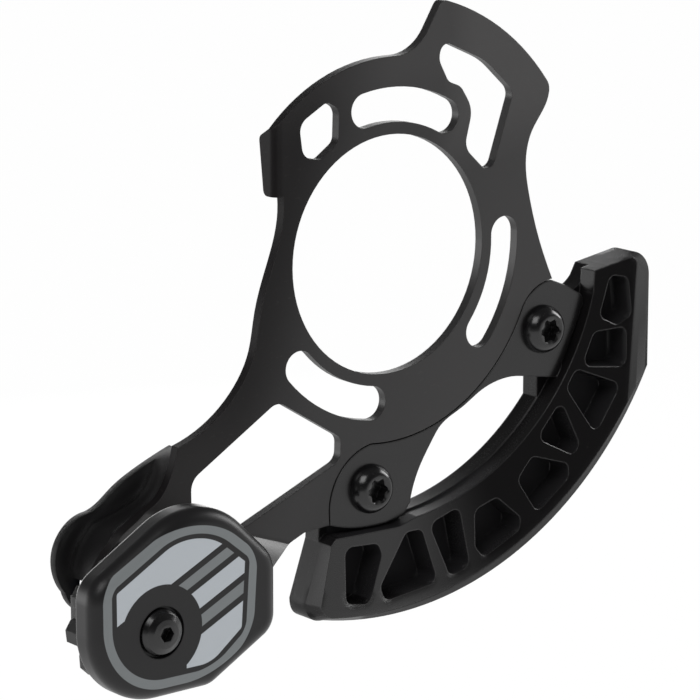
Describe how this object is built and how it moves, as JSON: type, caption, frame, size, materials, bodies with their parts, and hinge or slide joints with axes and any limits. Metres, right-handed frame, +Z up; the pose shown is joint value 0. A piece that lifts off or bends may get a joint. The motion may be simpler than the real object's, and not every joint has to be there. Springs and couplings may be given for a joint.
{
  "type": "bicycle chain guide",
  "caption": "Bicycle chain guide: slotted aluminium backplate with an arc skid plate on one side and a bolted lower roller held between an inner and an outer guide.",
  "frame": {"origin": "centre of the large hole, on the mounting face at the back of the backplate", "axes": "+X towards the front of the bicycle, +Z up, drive side faces -Y"},
  "size_m": [0.1457, 0.0287, 0.1161],
  "materials": {
    "plate": "satin black anodised",
    "skid": "moulded black with a fine grain",
    "guide": "semi-gloss black moulding",
    "roller": "black polyurethane",
    "black_steel": "black oxide",
    "steel": "ground",
    "spacer": "turned",
    "seal": "matt",
    "nylon": "matt"
  },
  "bodies": {
    "frame": {"backplate": "plate", "skid": "skid", "skid_bolts": "black_steel", "skid_nuts": "black_steel", "inner_guide": "guide", "outer_guide": "guide", "roller_bolt": "black_steel", "lock_nut": "black_steel", "lock_nut_insert": "nylon", "rear_spacer": "spacer", "front_spacer": "spacer", "bearing_inner_race": "steel"},
    "roller": {"roller": "roller", "bearing_outer_race": "steel", "bearing_seal_front": "seal", "bearing_seal_rear": "seal"},
    "ball_set": {"bearing_balls": "steel", "bearing_cage": "steel"}
  },
  "joints": [
    {"name": "roller_spin", "type": "hinge", "parent": "frame", "child": "roller", "pos_m": [-0.0652, 0, -0.0561], "axis": [0, 1, 0], "continuous": true},
    {"name": "ball_set_spin", "type": "hinge", "parent": "frame", "child": "ball_set", "pos_m": [-0.0652, 0, -0.0561], "axis": [0, 1, 0], "continuous": true}
  ],
  "couplings": [
    {"joint": "ball_set_spin", "follows": "roller_spin", "ratio": 0.6111}
  ]
}
